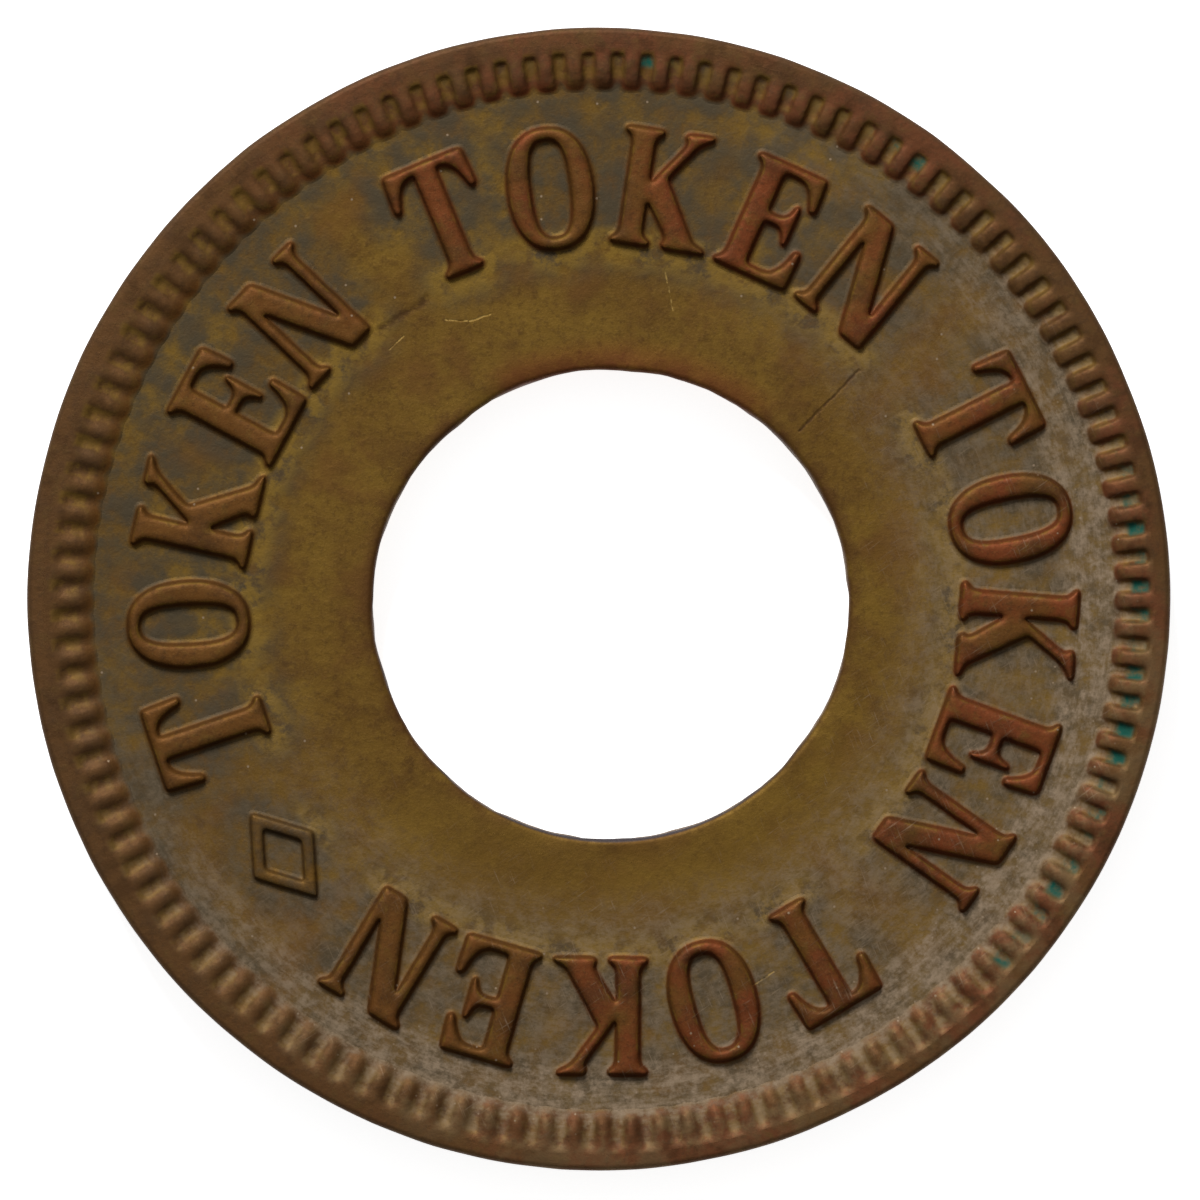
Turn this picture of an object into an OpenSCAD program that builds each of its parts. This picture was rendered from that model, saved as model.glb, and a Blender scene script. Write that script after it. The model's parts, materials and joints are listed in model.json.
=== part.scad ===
// Holed machine token: one struck brass blank, with its relief kept as separate solids
// that stand face to face on the blank. Millimetres, +Z up. The token lies on its back:
// the back rim's flat top is at Z 0 and the front reads upright towards +Y.

/* [Blank] */
// Diameter over the outer edge
token_d = 21.2; // [20.8:0.1:24]
// Thickness of the blank between the two fields
blank_t = 1.3; // [0.9:0.05:2]
// Diameter of the punched hole
hole_d = 8.74; // [6:0.02:9.4]
// How far the punch landed from the middle, to the right
hole_x = 0.22; // [-0.3:0.01:0.3]
// How far the punch landed from the middle, towards 12 o'clock
hole_y = -0.11; // [-0.3:0.01:0.3]
// Worn edge at each mouth of the hole
hole_chamfer = 0.12; // [0.04:0.01:0.2]

/* [Border] */
// Height of the rim above the field
rim_h = 0.2; // [0.18:0.01:0.3]
// Radius of the rim's inner wall
rim_inner_r = 10.16; // [10.05:0.01:10.2]
// Rounding of the rim's outer corner
rim_round = 0.1; // [0.04:0.01:0.16]
// Number of denticles in the ring
denticle_count = 116; // [80:1:130]
// Length of one denticle, inwards from the rim
denticle_l = 0.62; // [0.3:0.01:0.7]
// Width of one denticle
denticle_w = 0.3; // [0.15:0.01:0.32]
// Height of a denticle above the field
denticle_h = 0.17; // [0.08:0.01:0.18]
// How far the front die landed from the middle, to the right
strike_x = 0.08; // [-0.1:0.01:0.1]
// How far the front die landed from the middle, towards 12 o'clock
strike_y = -0.04; // [-0.1:0.01:0.1]

/* [Legend] */
// Height of the capitals
cap_h = 2.17; // [1.8:0.01:2.2]
// Radius of the circle that the letters stand on
baseline_r = 6.62; // [6.5:0.01:6.8]
// Height of the letters above the field
letter_h = 0.15; // [0.06:0.01:0.18]
// Width of a main stem
stem_w = 0.41; // [0.3:0.01:0.5]
// Width of a thin upright stroke
hair_w = 0.2; // [0.14:0.01:0.3]
// Thickness of a thin level arm
arm_t = 0.16; // [0.1:0.01:0.22]
// How far a serif reaches past its stroke
serif_over = 0.16; // [0.08:0.01:0.2]
// Thickness of a serif at its tip
serif_t = 0.12; // [0.08:0.01:0.16]
// Gap between two letters, in degrees round the token
letter_gap = 3.6; // [2.5:0.1:4.5]

/* [Lozenge] */
// Direction of the lozenge, in degrees clockwise from 12 o'clock
lozenge_at = 231.5; // [225:0.5:240]
// Diagonal along the legend
lozenge_w = 1.98; // [1.4:0.01:2.2]
// Diagonal across the legend
lozenge_l = 1.38; // [1:0.01:1.6]
// Width of its outline
lozenge_line = 0.2; // [0.12:0.01:0.26]
// Height of its outline above the field
lozenge_h = 0.1; // [0.05:0.01:0.16]
// How far its centre lies inside the middle of the legend
lozenge_drop = 0.13; // [0:0.01:0.3]
// Arc kept clear on each side of its centre, in degrees
lozenge_half_arc = 14; // [11:0.5:15]

/* [Hidden] */

$fn = 96;
token_r = token_d / 2;
back_field_z = rim_h;
front_field_z = rim_h + blank_t;
cut_clear = 1;
curve_steps = 8;
oval_steps = 48;

// Proportions that the letters share
leg_w = stem_w * 1.12;
wedge_h = cap_h * 0.34;
wedge_tip = 0.12;
wedge_flare = 0.03;
wedge_run = 0.5;
tongue_h = cap_h * 0.18;
tongue_tip = 0.07;
tongue_bend = 0.11;
tongue_run = 0.3;
short_arm = 0.07;
round_overshoot = 0.04;
outer_oval = 2.3;
inner_oval = 2.8;

// Each letter of the word with its width
LETTERS = [["T", 1.62], ["O", 1.58], ["K", 1.78], ["E", 1.46], ["N", 1.72]];
legend_mid_r = baseline_r + cap_h / 2;
letter_arcs = [for (l = LETTERS) atan(l[1] / legend_mid_r)];
word_arc = sum_to(letter_arcs, len(LETTERS)) + letter_gap * (len(LETTERS) - 1);
WORD_COUNT = 4;
word_gap = (360 - 2 * lozenge_half_arc - WORD_COUNT * word_arc) / (WORD_COUNT - 1);
lozenge_r = legend_mid_r - lozenge_drop;

// Sum of the first n values of a list
function sum_to(v, n) = n == 0 ? 0 : v[n - 1] + sum_to(v, n - 1);

// Points along a curve that leaves a towards b and arrives at c
function bend(a, b, c) = [
    for (i = [0:curve_steps]) let (t = i / curve_steps)
        (1 - t) * (1 - t) * a + 2 * t * (1 - t) * b + t * t * c
];

// Oval whose sides are the flatter, the higher p is
function oval(rx, ry, p) = [
    for (i = [0:oval_steps - 1]) let (a = 360 * i / oval_steps, c = cos(a), s = sin(a))
        [rx * sign(c) * pow(abs(c), 2 / p), ry * sign(s) * pow(abs(s), 2 / p)]
];

// ---- strokes of the letters, in the plane of the field ----

// Serif on the foot of a stroke of width w, centred on x. lean is how far the stroke
// moves sideways for each millimetre that it rises.
module foot_serif(x, w, lean = 0) {
    half = w / 2;
    bracket = bend([half + serif_over, serif_t * 0.7], [half, serif_t], [half, serif_t * 2.5]);
    right = [for (p = bracket) [p[0] + lean * p[1], p[1]]];
    left = [for (i = [len(bracket) - 1:-1:0]) let (p = bracket[i]) [-p[0] + lean * p[1], p[1]]];
    translate([x, 0])
        polygon(concat([[-half - serif_over, 0], [half + serif_over, 0]], right, left));
}

// The same at the cap line. Here lean is the sideways move for each millimetre down.
module head_serif(x, w, lean = 0) {
    translate([0, cap_h]) mirror([0, 1]) foot_serif(x, w, lean);
}

// Upright stroke from the baseline to the cap line, centred on x
module upright(x, w) {
    translate([x - w / 2, 0]) square([w, cap_h]);
}

// Upright stroke with a serif at both ends
module serifed_upright(x, w) {
    upright(x, w);
    foot_serif(x, w);
    head_serif(x, w);
}

// Arm along the baseline from x0 to x1, whose end at x1 rises into a wedge of height h
module wedged_arm(x0, x1, h) {
    dir = sign(x1 - x0);
    tip = x1 + dir * wedge_flare;
    inner_x = tip - dir * wedge_tip;
    curve = bend([inner_x, h], [inner_x - dir * wedge_tip, arm_t], [x1 - dir * wedge_run, arm_t]);
    polygon(concat([[x0, 0], [x1, 0], [tip, h]], curve, [[x0, arm_t]]));
}

module wedged_arm_top(x0, x1, h) {
    translate([0, cap_h]) mirror([0, 1]) wedged_arm(x0, x1, h);
}

// ---- the letters ----

module letter_t(w) {
    upright(w / 2, stem_w);
    foot_serif(w / 2, stem_w);
    wedged_arm_top(w / 2, wedge_flare, wedge_h);
    wedged_arm_top(w / 2, w - wedge_flare, wedge_h);
}

module letter_o(w) {
    translate([w / 2, cap_h / 2]) difference() {
        polygon(oval(w / 2, cap_h / 2 + round_overshoot, outer_oval));
        polygon(oval(w / 2 - stem_w, cap_h / 2 - arm_t, inner_oval));
    }
}

module letter_k(w) {
    stem_x = serif_over + stem_w / 2;
    // Thin arm: starts inside the stem and rises to the cap line
    arm_foot = [stem_x - hair_w / 2, cap_h * 0.32];
    arm_head_x = w - serif_over * 1.5 - hair_w;
    arm_lean = (arm_head_x - arm_foot[0]) / (cap_h - arm_foot[1]);
    // Thick leg: hangs from the arm's underside
    leg_x = w - serif_over - leg_w;
    leg_low_y = cap_h * 0.43;
    leg_high_y = cap_h * 0.63;
    function under_arm(y) = arm_foot[0] + hair_w / 2 + arm_lean * (y - arm_foot[1]);
    leg_lean = (under_arm(leg_low_y) - leg_x) / leg_low_y;
    serifed_upright(stem_x, stem_w);
    polygon([
        arm_foot, arm_foot + [hair_w, 0],
        [arm_head_x + hair_w, cap_h], [arm_head_x, cap_h]
    ]);
    head_serif(arm_head_x + hair_w / 2, hair_w, -arm_lean);
    polygon([
        [leg_x, 0], [leg_x + leg_w, 0],
        [under_arm(leg_high_y), leg_high_y], [under_arm(leg_low_y), leg_low_y]
    ]);
    foot_serif(leg_x + leg_w / 2, leg_w, leg_lean);
}

module letter_e(w) {
    stem_x = serif_over + stem_w / 2;
    lower_end = w - wedge_flare;
    upper_end = lower_end - short_arm;
    tongue_x = w * 0.76;
    serifed_upright(stem_x, stem_w);
    wedged_arm_top(stem_x, upper_end, wedge_h * 0.9);
    wedged_arm(stem_x, lower_end, wedge_h);
    // Middle arm: two small wedges back to back
    translate([0, cap_h * 0.52]) for (side = [0, 1]) mirror([0, side])
        polygon(concat(
            [[stem_x, 0], [tongue_x, 0], [tongue_x, tongue_h]],
            bend([tongue_x - tongue_tip, tongue_h], [tongue_x - tongue_bend, arm_t / 2],
                [tongue_x - tongue_run, arm_t / 2]),
            [[stem_x, arm_t / 2]]
        ));
}

module letter_n(w) {
    left_x = serif_over + hair_w / 2;
    right_x = w - left_x;
    upright(left_x, hair_w);
    foot_serif(left_x, hair_w);
    head_serif(left_x, hair_w);
    upright(right_x, hair_w);
    head_serif(right_x, hair_w);
    // Thick diagonal, corner to corner
    foot_right = right_x + hair_w / 2;
    head_left = left_x - hair_w / 2;
    polygon([
        [foot_right - leg_w, 0], [foot_right, 0],
        [head_left + leg_w, cap_h], [head_left, cap_h]
    ]);
}

// Letter number i of the word, drawn from its left edge
module letter(i) {
    w = LETTERS[i][1];
    if (i == 0) letter_t(w);
    if (i == 1) letter_o(w);
    if (i == 2) letter_k(w);
    if (i == 3) letter_e(w);
    if (i == 4) letter_n(w);
}

// ---- the relief, each drawn on a field at Z 0 and rising towards +Z ----

// One word, upright on the baseline circle, counted clockwise from the lozenge
module word(number) {
    start = lozenge_at + lozenge_half_arc + number * (word_arc + word_gap);
    for (i = [0:len(LETTERS) - 1]) {
        at = start + sum_to(letter_arcs, i) + letter_arcs[i] / 2 + i * letter_gap;
        rotate([0, 0, -at])
            translate([-LETTERS[i][1] / 2, baseline_r, 0])
                linear_extrude(letter_h) letter(i);
    }
}

module lozenge_outline(w, l) {
    polygon([[-w / 2, 0], [0, -l / 2], [w / 2, 0], [0, l / 2]]);
}

// Hollow lozenge; its outline has the same width on all four sides
module lozenge() {
    side = sqrt(pow(lozenge_w / 2, 2) + pow(lozenge_l / 2, 2));
    inner = 1 - lozenge_line * side / (lozenge_w * lozenge_l / 4);
    rotate([0, 0, -lozenge_at]) translate([0, lozenge_r, 0])
        linear_extrude(lozenge_h) difference() {
            lozenge_outline(lozenge_w, lozenge_l);
            lozenge_outline(lozenge_w * inner, lozenge_l * inner);
        }
}

// One denticle, along +Y, with a round inner end; its outer end runs past the rim's wall
module denticle() {
    inner_r = rim_inner_r - denticle_l;
    translate([0, inner_r + denticle_w / 2, 0]) cylinder(d = denticle_w, h = denticle_h, $fn = 32);
    translate([-denticle_w / 2, inner_r + denticle_w / 2, 0])
        cube([denticle_w, denticle_l, denticle_h]);
}

// The whole ring of denticles, trimmed to the rim's inner wall
module denticles() {
    intersection() {
        for (i = [0:denticle_count - 1])
            rotate([0, 0, 360 * i / denticle_count]) denticle();
        cylinder(r = rim_inner_r, h = rim_h, $fn = 256);
    }
}

// Raised rim with a rounded outer corner. The die's ring sits at (x, y) from the middle.
module rim(x, y) {
    corner = [
        for (a = [0:15:90])
            [token_r - rim_round + rim_round * cos(a), rim_h - rim_round + rim_round * sin(a)]
    ];
    core_r = rim_inner_r - 1;
    difference() {
        rotate_extrude($fn = 256)
            polygon(concat([[core_r, 0], [token_r, 0]], corner, [[core_r, rim_h]]));
        translate([x, y, -cut_clear])
            cylinder(r = rim_inner_r, h = rim_h + 2 * cut_clear, $fn = 256);
    }
}

// ---- where each side's relief goes ----

module on_front_blank() {
    translate([0, 0, front_field_z]) children();
}

module on_front() {
    on_front_blank() translate([strike_x, strike_y, 0]) children();
}

// The back is turned over about X, so that both sides read upright on one turn
module on_back() {
    translate([0, 0, back_field_z]) rotate([180, 0, 0]) children();
}

// ---- the sub-parts ----

module blank() {
    hole_r = hole_d / 2;
    color("darkgoldenrod") difference() {
        translate([0, 0, back_field_z]) cylinder(r = token_r, h = blank_t, $fn = 256);
        translate([hole_x, hole_y, back_field_z]) {
            translate([0, 0, -cut_clear])
                cylinder(r = hole_r, h = blank_t + 2 * cut_clear, $fn = 256);
            cylinder(r1 = hole_r + hole_chamfer, r2 = hole_r, h = hole_chamfer, $fn = 256);
            translate([0, 0, blank_t - hole_chamfer])
                cylinder(r1 = hole_r, r2 = hole_r + hole_chamfer, h = hole_chamfer, $fn = 256);
        }
    }
}

module front_rim() { color("saddlebrown") on_front_blank() rim(strike_x, strike_y); }
module front_denticles() { color("sienna") on_front() denticles(); }
module front_lozenge() { color("peru") on_front() lozenge(); }
module front_word(number) { color("sienna") on_front() word(number); }

module back_rim() { color("saddlebrown") on_back() rim(0, 0); }
module back_denticles() { color("sienna") on_back() denticles(); }
module back_lozenge() { color("peru") on_back() lozenge(); }
module back_word(number) { color("sienna") on_back() word(number); }

blank();
front_rim();
front_denticles();
front_lozenge();
front_word(0);  // front_word_left
front_word(1);  // front_word_top
front_word(2);  // front_word_right
front_word(3);  // front_word_bottom
back_rim();
back_denticles();
back_lozenge();
back_word(0);  // back_word_left
back_word(1);  // back_word_top
back_word(2);  // back_word_right
back_word(3);  // back_word_bottom
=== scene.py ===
# %% [markdown]
# # A holed brass machine token
# The token is one piece of brass. It was cut from sheet, punched, and struck between two
# dies that raised the rim, the ring of denticles, the words and the lozenge on both faces.
# The imported model gives every size and place. This file gives the struck metal its look:
# soft shoulders, rubbed tops with painted highlights, dark crevices with painted shade, dust and
# verdigris.

# %% Load the imported model
import json
import math

import bpy
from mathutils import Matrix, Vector, kdtree


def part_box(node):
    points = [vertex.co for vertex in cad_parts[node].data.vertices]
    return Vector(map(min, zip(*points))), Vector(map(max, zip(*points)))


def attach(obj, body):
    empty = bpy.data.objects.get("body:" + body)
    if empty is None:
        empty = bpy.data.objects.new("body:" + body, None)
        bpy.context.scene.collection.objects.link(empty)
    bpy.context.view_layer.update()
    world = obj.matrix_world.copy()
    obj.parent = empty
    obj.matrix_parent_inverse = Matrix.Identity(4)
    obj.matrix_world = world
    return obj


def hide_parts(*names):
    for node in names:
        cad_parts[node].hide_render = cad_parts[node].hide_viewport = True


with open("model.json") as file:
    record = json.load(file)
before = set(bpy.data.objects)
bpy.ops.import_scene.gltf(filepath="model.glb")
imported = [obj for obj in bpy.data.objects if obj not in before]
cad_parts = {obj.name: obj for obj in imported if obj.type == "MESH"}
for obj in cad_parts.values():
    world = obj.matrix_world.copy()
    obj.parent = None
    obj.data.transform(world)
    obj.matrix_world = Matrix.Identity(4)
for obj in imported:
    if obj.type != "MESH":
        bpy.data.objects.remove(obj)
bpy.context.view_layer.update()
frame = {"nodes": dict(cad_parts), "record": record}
print("solids:", sorted(frame["nodes"]))

# %% [markdown]
# ## Sizes
# A token is so small that metres are awkward: the finest detail here is a fiftieth of a
# millimetre, and some tools round smaller numbers away. So every piece is modelled in
# millimetres and scaled into the frame when it is finished. The sizes are read from the
# solids, so that nothing here can drift from them.

# %% Read the sizes from the solids
MM = 0.001
HAIR = 0.01  # a distance that counts as none, in mm


def box_mm(node):
    low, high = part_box(node)
    return low / MM, high / MM


blank_low, blank_high = box_mm("blank")
TOKEN_R = blank_high.x
BACK_FIELD = blank_low.z
FRONT_FIELD = blank_high.z
MIDDLE = (BACK_FIELD + FRONT_FIELD) / 2
RIM_HEIGHT = box_mm("front_rim")[1].z - FRONT_FIELD

hole = next(m for m in frame["record"]["mounts"] if m["name"] == "centre_hole")
HOLE_CENTRE = Vector(hole["pos_m"]) / MM
HOLE_R = hole["dims"]["r_mm"]
print(f"token {2 * TOKEN_R:.2f} mm, hole {2 * HOLE_R:.2f} mm, rim {RIM_HEIGHT:.2f} mm high")

# %% [markdown]
# ## The two faces
# Both faces carry the same relief. A face is described by the level of its field, by the
# way its relief rises, and by where its die landed, which is the middle of its denticles.

# %% Describe the faces
WORDS = ("word_left", "word_top", "word_right", "word_bottom")


class Face:
    def __init__(self, name, field, up):
        low, high = box_mm(f"{name}_denticles")
        self.name, self.field, self.up = name, field, up
        self.die = Vector(((low.x + high.x) / 2, (low.y + high.y) / 2, 0))
        self.ring_r = (high.x - low.x) / 2


FRONT = Face("front", FRONT_FIELD, 1)
BACK = Face("back", BACK_FIELD, -1)
for face in (FRONT, BACK):
    print(face.name, "die off the middle by", round(face.die.length, 3), "mm")

# %% [markdown]
# ## Working by hand, in code
# An operator acts on everything that is selected, so each step first picks exactly what
# it needs. These helpers start a piece, pick its points by their place, apply a modifier
# and put the finished piece into the frame.

# %% Helpers for modelling
def work_on(piece):
    bpy.ops.object.select_all(action="DESELECT")
    piece.select_set(True)
    bpy.context.view_layer.objects.active = piece


def pick_points(piece, wanted):
    """In edit mode, selects the points whose place passes the test."""
    bpy.ops.mesh.select_mode(type="VERT")
    bpy.ops.mesh.select_all(action="DESELECT")
    bpy.ops.object.mode_set(mode="OBJECT")
    for point in piece.data.vertices:
        point.select = wanted(point.co)
    bpy.ops.object.mode_set(mode="EDIT")


def apply_modifier(piece, kind, name, **settings):
    work_on(piece)
    modifier = piece.modifiers.new(name, kind)
    for key, value in settings.items():
        setattr(modifier, key, value)
    bpy.ops.object.modifier_apply(modifier=modifier.name)


def close_and_turn_outwards():
    bpy.ops.mesh.select_all(action="SELECT")
    bpy.ops.mesh.remove_doubles(threshold=0.0001)
    bpy.ops.mesh.normals_make_consistent(inside=False)


def finish_piece(piece, node, finish):
    """Scales the piece from millimetres into the frame, where it stands for the solid."""
    work_on(piece)
    piece.scale = (MM, MM, MM)
    bpy.ops.object.transform_apply(location=True, rotation=True, scale=True)
    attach(piece, "root")
    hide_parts(node)
    print(piece.name, len(piece.data.polygons), "faces")


# %% [markdown]
# ## Uneven metal
# No part of an old token is perfectly even. A Displace modifier with a cloud texture moves
# the surface by a few hundredths of a millimetre. The texture is read at the surface's own
# place, so two pieces that touch are moved alike where they meet.

# %% A helper that makes a surface uneven
def make_uneven(piece, lump, strength, group="", direction="NORMAL"):
    clouds = bpy.data.textures.new(f"{piece.name}_clouds", "CLOUDS")
    clouds.noise_scale = lump
    clouds.noise_depth = 2
    apply_modifier(
        piece, "DISPLACE", "uneven", texture=clouds, texture_coords="LOCAL",
        strength=strength, mid_level=0.5, vertex_group=group, direction=direction,
    )


def weigh(piece, name, weight_at):
    """Makes a group of points, each with the weight that its place gives."""
    group = piece.vertex_groups.new(name=name)
    for point in piece.data.vertices:
        weight = weight_at(point.co)
        if weight > 0:
            group.add([point.index], weight, "REPLACE")
    return group.name


def share(value, low, high):
    """How far the value has come from low to high, from 0 to 1."""
    return min(1, max(0, (value - low) / (high - low)))


# %% [markdown]
# ## Turned shapes
# The blank and the rims are round, so half of their outline turned once about the axis
# gives the whole piece. The outline is drawn point by point with extrude, as a person
# would, and Spin turns it. An outline that ends where it began makes a closed solid.

# %% A helper that turns an outline
TURN_STEPS = 384


def lathe(name, outline):
    """outline is a list of (radius, height) that goes once round the section."""
    bpy.ops.object.select_all(action="DESELECT")
    bpy.ops.mesh.primitive_plane_add(size=1)
    piece = bpy.context.object
    piece.name = name
    bpy.ops.object.mode_set(mode="EDIT")
    bpy.ops.mesh.merge(type="CENTER")
    bpy.ops.transform.translate(value=(outline[0][0], 0, outline[0][1]))
    for (r0, z0), (r1, z1) in zip(outline, outline[1:] + outline[:1]):
        step = {"value": (r1 - r0, 0, z1 - z0)}
        bpy.ops.mesh.extrude_vertices_move(TRANSFORM_OT_translate=step)
    bpy.ops.mesh.select_all(action="SELECT")
    bpy.ops.mesh.spin(steps=TURN_STEPS, angle=2 * math.pi, center=(0, 0, 0), axis=(0, 0, 1))
    close_and_turn_outwards()
    bpy.ops.object.mode_set(mode="OBJECT")
    return piece


def arc(centre_r, centre_z, radius, start, end, steps):
    """Points of a round corner, with angles in degrees from outwards towards up."""
    turns = [math.radians(start + (end - start) * i / steps) for i in range(steps + 1)]
    return [(centre_r + radius * math.cos(a), centre_z + radius * math.sin(a)) for a in turns]


# %% [markdown]
# ## The blank
# The blank is the sheet of brass itself. The punch drew the metal in at the mouth of the
# hole, and years of handling rounded it. The field is cut into many rings: they give the
# darkness beside the letters, grime and painted shade, which is stored at the points later,
# somewhere to live.
# The hole is moved off the middle with proportional editing, which carries the rings
# around it along and leaves the outer edge where it is.

# %% Turn the blank
MOUTH_ROUND = 0.12
MOUTH_STEPS = 5
FIELD_RING = 0.12
TAPER = 0.03
HOLE_OVAL = (1.012, 0.998, 1)
PULL_REACH = 1.8
mouth_r = HOLE_R + MOUTH_ROUND
ring_count = round((TOKEN_R - mouth_r) / FIELD_RING)
rings = [mouth_r + (TOKEN_R - mouth_r) * i / ring_count for i in range(1, ring_count + 1)]

low_mouth = arc(mouth_r + TAPER, BACK_FIELD + MOUTH_ROUND, MOUTH_ROUND, 270, 180, MOUTH_STEPS)
high_mouth = arc(mouth_r, FRONT_FIELD - MOUTH_ROUND, MOUTH_ROUND, 180, 90, MOUTH_STEPS)
hole_wall = [
    (HOLE_R + TAPER * (0.5 - t), MIDDLE + (FRONT_FIELD - MIDDLE) * t) for t in (-0.4, 0, 0.4)
]
front_rings = [(r, FRONT_FIELD) for r in rings]
back_rings = [(r, BACK_FIELD) for r in reversed(rings)]
blank = lathe("blank_struck", low_mouth + hole_wall + high_mouth + front_rings + back_rings)

work_on(blank)
bpy.ops.object.mode_set(mode="EDIT")
pick_points(blank, lambda p: p.xy.length < mouth_r + TAPER + HAIR)
around = {
    "use_proportional_edit": True, "proportional_edit_falloff": "SMOOTH",
    "proportional_size": PULL_REACH,
}
bpy.ops.transform.resize(value=HOLE_OVAL, center_override=(0, 0, 0), **around)
bpy.ops.transform.translate(value=(HOLE_CENTRE.x, HOLE_CENTRE.y, 0), **around)
bpy.ops.object.mode_set(mode="OBJECT")
print("blank:", ring_count, "rings on each face")

# %% [markdown]
# ## The worn mouth
# The punch left the mouth of the hole slightly ragged, and wear has softened that into long
# low waves. Only the points near the hole have a weight, so the field around stays flat.

# %% Wear the mouth of the hole
MOUTH_REACH = 0.3
MOUTH_LUMP, MOUTH_WEAR = 1.1, 0.11


def near_hole(p):
    return max(0, 1 - ((p - HOLE_CENTRE).xy.length - HOLE_R) / MOUTH_REACH)


make_uneven(blank, MOUTH_LUMP, MOUTH_WEAR, weigh(blank, "mouth", near_hole))
print("mouth worn over", MOUTH_REACH, "mm")

# %% [markdown]
# ## The worn outer edge
# Dropped and rolled for years, the outer edge is no longer a true circle. The blank and the
# rims share it, so each of them is moved to the side by the same clouds: once along X with
# broad ones, once along Y with finer ones. The seams inside the edge stay where they are.

# %% Wear the outer edge
EDGE_WEAR = 0.05
EDGE_LUMPS = {"X": 2.3, "Y": 1.7}
WORN_FROM, WORN_FULLY = TOKEN_R - 0.2, TOKEN_R - 0.05


def wear_edge(piece):
    edge = weigh(piece, "edge", lambda p: share(p.xy.length, WORN_FROM, WORN_FULLY))
    for direction, lump in EDGE_LUMPS.items():
        make_uneven(piece, lump, EDGE_WEAR, edge, direction)


wear_edge(blank)
print(f"outer edge moved by up to {EDGE_WEAR / 2} mm")

# %% [markdown]
# ## The rims
# Where the die's collar squeezed the metal up, a rim stands round each face. It was once
# square. Now its outer corner is round and its flat top is worn smooth. This piece is the
# rim's outer part. Its inner part runs into the teeth, so it is made with them, and the two
# tops meet flush.

# %% Turn a rim
RIM_SEAM = 0.14
RIM_SUNK = 0.02
CORNER_ROUND = 0.12
CORNER_STEPS = 6


def section_on(face, section):
    """Turns heights above the field into the face's own levels."""
    return [(r, face.field + face.up * h) for r, h in section]


def make_rim(face):
    seam = face.ring_r + RIM_SEAM
    corner = arc(
        TOKEN_R - CORNER_ROUND, RIM_HEIGHT - CORNER_ROUND, CORNER_ROUND, 90, 0, CORNER_STEPS
    )
    outside = [(TOKEN_R, 0), (TOKEN_R, -RIM_SUNK)]
    section = [(seam, -RIM_SUNK), (seam, RIM_HEIGHT)] + corner + outside
    return lathe(f"{face.name}_rim_struck", section_on(face, section))


rims = {face.name: make_rim(face) for face in (FRONT, BACK)}
for rim in rims.values():
    wear_edge(rim)
    print(rim.name, len(rim.data.polygons), "faces")

# %% [markdown]
# ## Struck relief
# Struck metal has no sharp edge anywhere: it flows into the die, so the tops are rounded,
# the walls lean, and the feet run out into the field. Bevels would have to agree at every
# serif and tooth. Instead the sharp relief is set on a thin plate and remeshed into small
# even faces, and smoothing lets the edges sink and the feet spread. Where a piece is worn
# more, a second smoothing with weights goes over it. Bisect then cuts the plate away, and
# the cut edge is extruded into the blank and filled.

# %% A helper that softens sharp relief on its plate
PLATE = 0.2
PLATE_DROP = 0.006
LUMP = 0.22
LUMP_HEIGHT = 0.035
LUMPY_FROM, LUMPY_FULLY = 0.03, 0.10
WORN_PASSES = 56
ROOT = 0.04


def strike(piece, face, voxel, passes, uneven_at=lambda p: 1, worn_at=None):
    def lumpy_at(p):
        return share((p.z - face.field) * face.up, LUMPY_FROM, LUMPY_FULLY) * uneven_at(p)

    apply_modifier(piece, "REMESH", "even_faces", mode="VOXEL", voxel_size=voxel)
    make_uneven(piece, LUMP, LUMP_HEIGHT, weigh(piece, "raised", lumpy_at))
    apply_modifier(piece, "SMOOTH", "sink_edges", factor=0.5, iterations=passes)
    if worn_at:
        worn = weigh(piece, "worn", worn_at)
        apply_modifier(
            piece, "SMOOTH", "wear", factor=0.5, iterations=WORN_PASSES, vertex_group=worn,
        )
    bpy.ops.object.mode_set(mode="EDIT")
    bpy.ops.mesh.select_all(action="SELECT")
    bpy.ops.mesh.bisect(
        plane_co=(0, 0, face.field - face.up * PLATE_DROP / 2), plane_no=(0, 0, face.up),
        use_fill=False, clear_inner=True,
    )
    down = {"value": (0, 0, -ROOT * face.up)}
    bpy.ops.mesh.extrude_edges_move(TRANSFORM_OT_translate=down)
    bpy.ops.mesh.fill()
    close_and_turn_outwards()
    bpy.ops.object.mode_set(mode="OBJECT")


# %% [markdown]
# ## The words and the lozenge
# The letters come straight from the solids, so each serif stays where the design has it.
# They are raised a little first, because smoothing lowers a thin stroke, and their feet
# are sunk into the plate, so that the remesh makes letters and plate one skin.

# %% Strike the words and the lozenge
SPREAD = 0.3


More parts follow.
